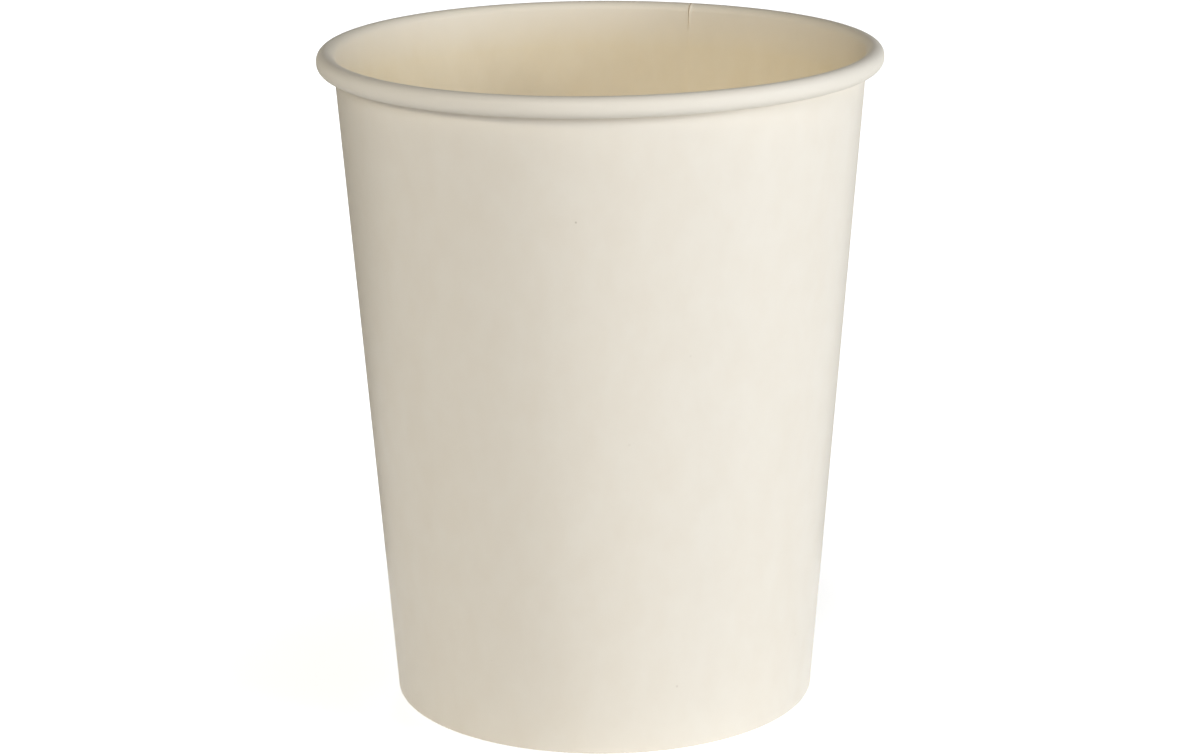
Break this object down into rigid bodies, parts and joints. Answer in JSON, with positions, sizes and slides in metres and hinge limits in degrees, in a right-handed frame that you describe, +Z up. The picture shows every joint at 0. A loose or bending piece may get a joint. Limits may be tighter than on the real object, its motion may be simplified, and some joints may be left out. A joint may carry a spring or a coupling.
{
  "type": "soup cup",
  "caption": "Tapered paper soup cup of cream coated board, open at the top, with a rolled rim, a lapped side seam and a recessed base.",
  "frame": {"origin": "centre of the foot, at table height", "axes": "+Z up along the cup's axis, +X to the right and -Y to the front when the side seam is at the back, a little to the right"},
  "size_m": [0.115, 0.115, 0.1365],
  "materials": {
    "sidewall_board": "uncoloured cream paperboard with a thin clear coating on both faces, smooth satin",
    "base_board": "uncoloured cream paperboard with a thin clear coating, smooth satin"
  },
  "bodies": {
    "root": {"sidewall": "sidewall_board", "base_disc": "base_board"}
  },
  "joints": []
}
